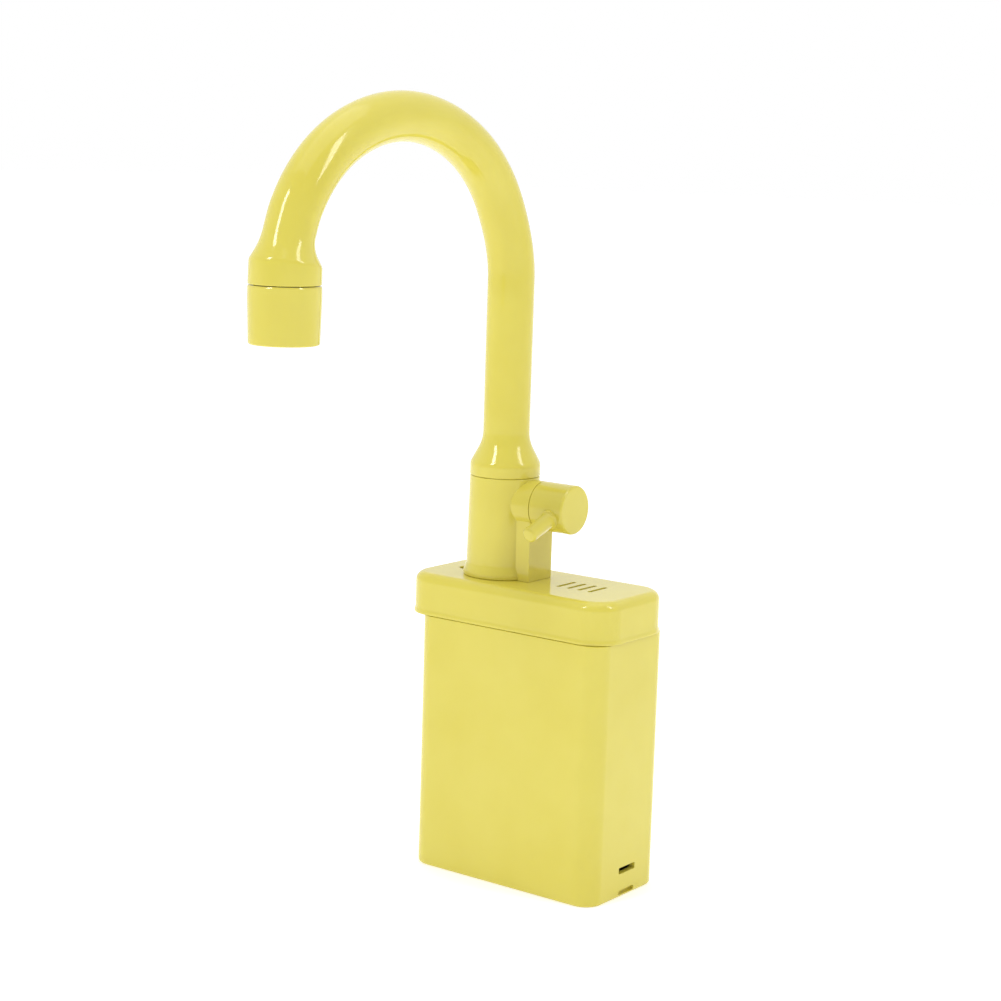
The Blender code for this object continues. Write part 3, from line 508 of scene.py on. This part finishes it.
def spoutStations(cfg):  # (y, z, tilt, radius) down the centre line, from the foot to the nozzle
    capLo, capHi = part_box("nozzle_cap")
    reach = -(capLo.y + capHi.y) / 2
    arch = capHi.z + cfg["seamGap"]  # both side arcs start level with the nozzle's seam
    shift = reach / 2 - cfg["sideArc"]
    drop = math.sqrt((cfg["crownArc"] - cfg["sideArc"]) ** 2 - shift ** 2)
    side = math.atan2(drop, shift)
    stations = []
    rise, crown, fall = cfg["arcSteps"]
    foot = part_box("spout_tube")[0].z - cfg["seamClose"]
    for radius, height in flare(cfg, "footFlare"):
        stations.append((0.0, foot + height, 0.0, radius))
    stations.append((0.0, arch, 0.0, cfg["tube"]))
    for i in range(1, rise + 1):
        a = side * i / rise
        stations.append((cfg["sideArc"] * (math.cos(a) - 1), arch + cfg["sideArc"] * math.sin(a), a,
                         cfg["tube"]))
    for i in range(1, crown + 1):
        a = side + (math.pi - 2 * side) * i / crown
        stations.append((cfg["crownArc"] * math.cos(a) - reach / 2,
                         arch - drop + cfg["crownArc"] * math.sin(a), a, cfg["tube"]))
    ending = flare(cfg, "nozzleFlare")[::-1]
    tail = math.pi - math.asin((ending[0][1] + cfg["nozzleSeam"]) / cfg["sideArc"])
    turns = [(math.pi - side + (tail - math.pi + side) * i / fall, cfg["tube"]) for i in range(1, fall)]
    turns += [(math.pi - math.asin((height + cfg["nozzleSeam"]) / cfg["sideArc"]), radius)
              for radius, height in ending]
    for a, radius in turns:
        stations.append((-reach + cfg["sideArc"] * (1 + math.cos(a)), arch + cfg["sideArc"] * math.sin(a), a,
                         radius))
    stations[-1] = (stations[-1][0], stations[-1][1], math.pi, stations[-1][3])
    return [(y - leanAt(cfg, z), z, tilt, radius) for y, z, tilt, radius in stations]


def leanAt(cfg, z):
    most, start, rise = cfg["lean"]
    share = min(1.0, max(0.0, (z - start) / rise))
    return most * share * share * (3 - 2 * share)


def ringPlace(y, z, tilt, radius):
    turn = Matrix.Rotation(tilt, 4, "X")
    return Matrix.Translation((swivelX, y, z)) @ turn @ Matrix.Diagonal((radius, radius, 1.0, 1.0))


def drawRings(bm, places, steps):  # extrudes one ring of edges from place to place
    made = bmesh.ops.create_circle(bm, segments=steps, radius=1.0, cap_ends=False, matrix=places[0])
    ring = list({e for v in made["verts"] for e in v.link_edges})
    for last, now in zip(places, places[1:]):
        grown = bmesh.ops.extrude_edge_only(bm, edges=ring)["geom"]
        moved = [v for v in grown if isinstance(v, bmesh.types.BMVert)]
        ring = [e for e in grown if isinstance(e, bmesh.types.BMEdge)]
        bmesh.ops.transform(bm, matrix=now @ last.inverted(), verts=moved)


def endLip(station, cfg, sign):  # from inside the tube's end, round the rounded seam edge
    y, z, tilt, radius = station
    wall, edge = cfg["wall"], cfg["seamRound"]
    rows = [(radius - wall, cfg["lipDepth"]), (radius - wall, edge / 2), (radius - wall + edge / 2, 0)]
    rows += [(radius - edge + edge * math.sin(a), edge - edge * math.cos(a))
             for a in (math.pi / 8 * i for i in range(5))]
    along = Matrix.Rotation(tilt, 4, "X") @ Vector((0, 0, sign))
    return [ringPlace(y + along.y * h, z + along.z * h, tilt, r) for r, h in rows]


def buildSpout(cfg):
    stations = spoutStations(cfg)
    places = endLip(stations[0], cfg, 1)
    places += [ringPlace(*station) for station in stations[1:-1]]
    places += endLip(stations[-1], cfg, -1)[::-1]
    bm = bmesh.new()
    drawRings(bm, places, cfg["around"])
    bmesh.ops.holes_fill(bm, edges=[e for e in bm.edges if e.is_boundary])
    bmesh.ops.recalc_face_normals(bm, faces=bm.faces)
    piece = plainObject("gooseneckTube", bm)
    finishPiece(piece, yellowPlastic, "spout", ["spout_tube"], 50)


buildSpout(spout)
print("spout built")


nozzle = {
    "raise": 0.1 * mm,  # narrows the gap at the seam by this much
    "taper": (0.25 * mm, 0.35 * mm),  # the top and the foot are this much slimmer than the waist
    "waist": (0.5 * mm, 4.0 * mm),  # below the top
    "rimRound": 0.6 * mm,
    "mouth": 7.9 * mm,
    "mouthEdge": (0.3 * mm, 0.6 * mm),  # the mouth's chamfer: width, height
    "seat": (8.8 * mm, 1.9 * mm),  # radius, height above the rim
    "screenLip": (7.2 * mm, 0.2 * mm, 0.4 * mm),  # the screen's lower ring: radius, slope, height
    "holeRows": ((0.0, 1, 0), (2.9 * mm, 6, 0), (5.8 * mm, 12, 0.5)),  # radius, count, turn in hole pitches
    "holeRadius": 0.75 * mm,
    "holeFlare": 1.25,
    "holeCut": 6.0 * mm,
}


def buildNozzleCap(cfg):
    lo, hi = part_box("nozzle_cap")
    top = hi.z + spout["nozzleSeam"] + cfg["raise"]
    radius, (topSlim, footSlim) = (hi.x - lo.x) / 2, cfg["taper"]
    upper, lower = cfg["waist"]
    edgeWide, edgeHigh = cfg["mouthEdge"]
    seat, seatHigh = cfg["seat"]
    mouth = cfg["mouth"]
    outline = [(seat, top), (radius - topSlim, top), (radius, top - upper), (radius, top - lower),
               (radius - footSlim, lo.z), (mouth + edgeWide, lo.z), (mouth, lo.z + edgeHigh),
               (mouth, lo.z + seatHigh), (seat, lo.z + seatHigh), (seat, top)]
    radii = [0, 0.15 * mm, 0.2 * mm, 1.5 * mm, cfg["rimRound"], 0.25 * mm, 0.2 * mm, 0, 0, 0]
    bm = bmesh.new()
    latheOn(bm, roundCorners(outline, radii), (swivelX, (lo.y + hi.y) / 2, 0), (0, 0, 1), 96)
    piece = plainObject("nozzleScrewCap", bm)
    finishPiece(piece, yellowPlastic, "spout", ["nozzle_cap"], 45)


def buildFlowScreen(cfg):
    lo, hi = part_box("flow_screen")
    centre = ((lo.x + hi.x) / 2, (lo.y + hi.y) / 2, 0)
    radius = (hi.x - lo.x) / 2
    bm = bmesh.new()
    lip, slope, rise = cfg["screenLip"]
    outline = [(0, hi.z), (radius, hi.z), (radius, lo.z), (lip, lo.z), (lip - slope, lo.z + rise),
               (0, lo.z + rise)]
    latheOn(bm, roundCorners(outline, [0, 0.3 * mm, 0.3 * mm, 0.1 * mm, 0.1 * mm, 0]), centre, (0, 0, 1), 64)
    piece = plainObject("flowScreenDisc", bm)
    cutters = []
    for rowRadius, count, turned in cfg["holeRows"]:
        for i in range(count):
            a = 2 * math.pi * (i + turned) / count
            bm = bmesh.new()
            spot = (centre[0] + rowRadius * math.cos(a), centre[1] + rowRadius * math.sin(a),
                    (lo.z + hi.z) / 2)
            bmesh.ops.create_cone(bm, cap_ends=True, segments=20, radius2=cfg["holeRadius"],
                                  radius1=cfg["holeRadius"] * cfg["holeFlare"], depth=cfg["holeCut"],
                                  matrix=Matrix.Translation(spot))
            cutters.append(plainObject(f"streamHole{len(cutters) + 1}", bm))
    carve(piece, cutters)
    finishPiece(piece, finishes["grey_moulding"], "spout", ["flow_screen"], 40)


buildNozzleCap(nozzle)
buildFlowScreen(nozzle)
print("nozzle built")


lever = {
    "endRound": 0.8 * mm,
    "wall": 1.4 * mm,
    "endWall": 1.6 * mm,
    "rod": 2.5 * mm,
    "rodTaper": 0.05 * mm,
    "rodX": 6.8 * mm,
    "rodReach": 19.3 * mm,
    "rodDrop": math.radians(20),
    "tipRound": 1.0 * mm,
    "seamClose": 0.2 * mm,
    "rootFillet": 0.9 * mm,
    "rootDepth": 1.0 * mm,  # the peg runs this far into the barrel
}


def buildLeverKnob(cfg):
    lo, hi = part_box("lever_knob")
    lo.x -= cfg["seamClose"]
    radius = (hi.z - lo.z) / 2
    outline = [(0, hi.x), (radius, hi.x), (radius, lo.x), (radius - cfg["wall"], lo.x),
               (radius - cfg["wall"], hi.x - cfg["endWall"]), (0, hi.x - cfg["endWall"])]
    bm = bmesh.new()
    latheOn(bm, roundCorners(outline, [0, cfg["endRound"], 0.3 * mm, 0.2 * mm, 0, 0], 6), (0, 0, leverZ),
            (1, 0, 0), 96)
    piece = plainObject("leverBarrel", bm)
    finishPiece(piece, yellowPlastic, "lever", ["lever_knob"], 45)


def buildLeverRod(cfg):
    lo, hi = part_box("lever_knob")
    barrel = (hi.z - lo.z) / 2
    along = Vector((0, -math.cos(cfg["rodDrop"]), -math.sin(cfg["rodDrop"])))
    rod, fillet = cfg["rod"], cfg["rootFillet"]
    outline = [(0, cfg["rodReach"]), (rod - cfg["rodTaper"], cfg["rodReach"]), (rod, barrel + fillet * 1.6)]
    profile = roundCorners(outline, [0, cfg["tipRound"], 0], 6)
    profile += [Vector((rod + fillet * (1 - math.cos(a)) * 0.8, barrel + fillet * (1.2 - math.sin(a))))
                for a in (math.pi / 12 * i for i in range(7))]
    root = barrel - cfg["rootDepth"]
    profile += [Vector((rod + fillet * 0.8, root)), Vector((0, root))]
    bm = bmesh.new()
    latheOn(bm, profile, (cfg["rodX"], 0, leverZ), along, 56)
    piece = plainObject("leverPeg", bm)
    finishPiece(piece, yellowPlastic, "lever", ["lever_rod"], 50)


buildLeverKnob(lever)
buildLeverRod(lever)
print("lever built")

# round inner pieces that stay as they are, shaded smooth
for nodeName in ("lid_screw", "lever_shaft", "motor_can", "delivery_hose", "motor_sleeve", "pump_volute"):
    turned = frame["nodes"][nodeName]
    turned.data.shade_smooth()
    turned.data.set_sharp_from_angle(angle=math.radians(35))


studio = {
    "floorSize": 12.0,  # metres from the middle to each side
    "floor": "#ffffff",
    "floorGlow": 0.28,  # lit from below, like a product table
    "skyBack": 1.0,  # white sweep behind the piece
    "skyFront": 0.5,  # dimmer room behind the viewer
    "lights": (  # name, azimuth, height angle, distance, (width, height), watts
        ("leftStrip", -14.4, 37.0, 1.2, (0.20, 0.46), 4.0),
        ("rightStrip", 104.0, 38.0, 1.2, (0.20, 0.6), 2.8),
        ("topPanel", 0.0, 88.0, 1.2, (1.2, 1.2), 3.6),
    ),
    "lightAim": (swivelX, -60 * mm, 200 * mm),
}
cameraSet = {
    "azimuth": 36.64,
    "elevation": 9.16,
    "roll": 1.81,
    "distance": 698.2 * mm,
    "aim": (swivelX - 1.5 * mm, 0.0, 121.0 * mm),
    "lens": 77.37,
}


def directionOf(azimuth, rise):  # degrees round from -Y towards +X, and up
    a, e = math.radians(azimuth), math.radians(rise)
    return Vector((math.sin(a) * math.cos(e), -math.cos(a) * math.cos(e), math.sin(e)))


def buildStudio(cfg):
    bm = bmesh.new()
    bmesh.ops.create_grid(bm, x_segments=1, y_segments=1, size=cfg["floorSize"])
    floor = plainObject("paleFloor", bm)
    paper = mottled("mattWhitePaper", cfg["floor"], "#fbfbfa", 60 * mm, (0.8, 0.95))
    shader = paper.node_tree.nodes["Principled BSDF"]
    shader.inputs["Emission Color"].default_value = (1.0, 1.0, 1.0, 1.0)
    shader.inputs["Emission Strength"].default_value = cfg["floorGlow"]
    floor.data.materials.append(paper)
    world = bpy.data.worlds.new("paleStudio")
    world.use_nodes = True
    backdrop = world.node_tree.nodes["Background"]
    backdrop.inputs["Color"].default_value = (1.0, 1.0, 1.0, 1.0)
    toward = math.radians(cameraSet["azimuth"])
    heading = addNode(world, "ShaderNodeTexCoord", {}, {}).outputs["Generated"]
    viewer = (math.sin(toward), -math.cos(toward), 0.0)
    facing = addNode(world, "ShaderNodeVectorMath", {"operation": "DOT_PRODUCT", 1: viewer}, {0: heading})
    glow = addNode(world, "ShaderNodeMapRange",
                   {"interpolation_type": "SMOOTHSTEP", 1: -0.6, 2: 0.9, 3: cfg["skyBack"],
                    4: cfg["skyFront"]}, {0: facing.outputs["Value"]})
    world.node_tree.links.new(glow.outputs["Result"], backdrop.inputs["Strength"])
    bpy.context.scene.world = world
    for name, azimuth, rise, distance, size, watts in cfg["lights"]:
        lamp = bpy.data.lights.new(name, "AREA")
        lamp.shape = "RECTANGLE"
        lamp.size, lamp.size_y = size
        lamp.energy = watts
        lampObject = bpy.data.objects.new(name, lamp)
        out = directionOf(azimuth, rise)
        lampObject.location = Vector(cfg["lightAim"]) + out * distance
        lampObject.rotation_euler = (-out).to_track_quat("-Z", "Y").to_euler()
        bpy.context.scene.collection.objects.link(lampObject)


def buildCamera(cfg):
    back = directionOf(cfg["azimuth"], cfg["elevation"])
    camera = bpy.data.objects.new("viewCamera", bpy.data.cameras.new("viewCamera"))
    camera.data.lens = cfg["lens"]
    camera.data.sensor_width = 36.0
    camera.data.clip_start = 0.01
    bpy.context.scene.collection.objects.link(camera)
    camera.location = Vector(cfg["aim"]) + back * cfg["distance"]
    facing = (-back).to_track_quat("-Z", "Y").to_matrix()
    roll = Matrix.Rotation(math.radians(cfg["roll"]), 3, "Z")
    camera.rotation_euler = (facing @ roll).to_euler()
    bpy.context.scene.camera = camera


buildStudio(studio)
buildCamera(cameraSet)
bpy.context.scene.view_settings.view_transform = "Standard"
print("studio ready")
